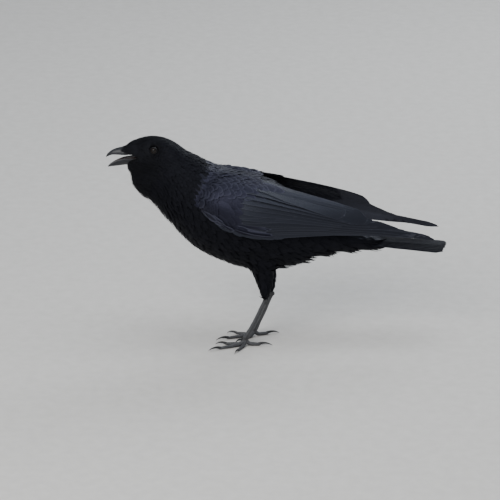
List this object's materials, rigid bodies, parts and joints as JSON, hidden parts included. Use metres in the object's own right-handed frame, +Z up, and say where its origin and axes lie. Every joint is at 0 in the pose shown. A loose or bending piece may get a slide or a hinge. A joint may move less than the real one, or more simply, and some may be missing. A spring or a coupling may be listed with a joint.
{
  "type": "crow",
  "caption": "Life-size standing crow, glossy black all over, with its bill open, wings folded and held slightly off the back, and a long tail.",
  "frame": {"origin": "on the ground, under the middle of the bounding box of the whole bird", "axes": "the bird faces -Y, its left side is +X, +Z is up; Y is its length from bill tip to tail tip"},
  "size_m": [0.1182, 0.4558, 0.2874],
  "materials": {
    "plumage": "black body feathers with a faint blue-violet sheen",
    "flight_feathers": "satin black wing and tail feathers",
    "bill": "black horn, soft gloss",
    "mouth": "moist dark skin",
    "eyes": "wet dark brown",
    "legs": "dark grey scutes and scales, satin",
    "claws": "black horn"
  },
  "bodies": {
    "root": {"head": "plumage", "neck": "plumage", "trunk": "plumage", "rump": "plumage", "tail": "flight_feathers", "bill_upper": "bill", "bill_lower": "bill", "tongue": "mouth", "eye_left": "eyes", "eye_right": "eyes", "wing_arm_left": "plumage", "wing_arm_right": "plumage", "wing_secondaries_left": "flight_feathers", "wing_secondaries_right": "flight_feathers", "wing_primaries_left": "flight_feathers", "wing_primaries_right": "flight_feathers", "thigh_left": "plumage", "thigh_right": "plumage", "tarsus_left": "legs", "tarsus_right": "legs", "toe_middle_left": "legs", "toe_inner_left": "legs", "toe_outer_left": "legs", "toe_hind_left": "legs", "toe_middle_right": "legs", "toe_inner_right": "legs", "toe_outer_right": "legs", "toe_hind_right": "legs", "claw_middle_left": "claws", "claw_inner_left": "claws", "claw_outer_left": "claws", "claw_hind_left": "claws", "claw_middle_right": "claws", "claw_inner_right": "claws", "claw_outer_right": "claws", "claw_hind_right": "claws"}
  },
  "joints": []
}
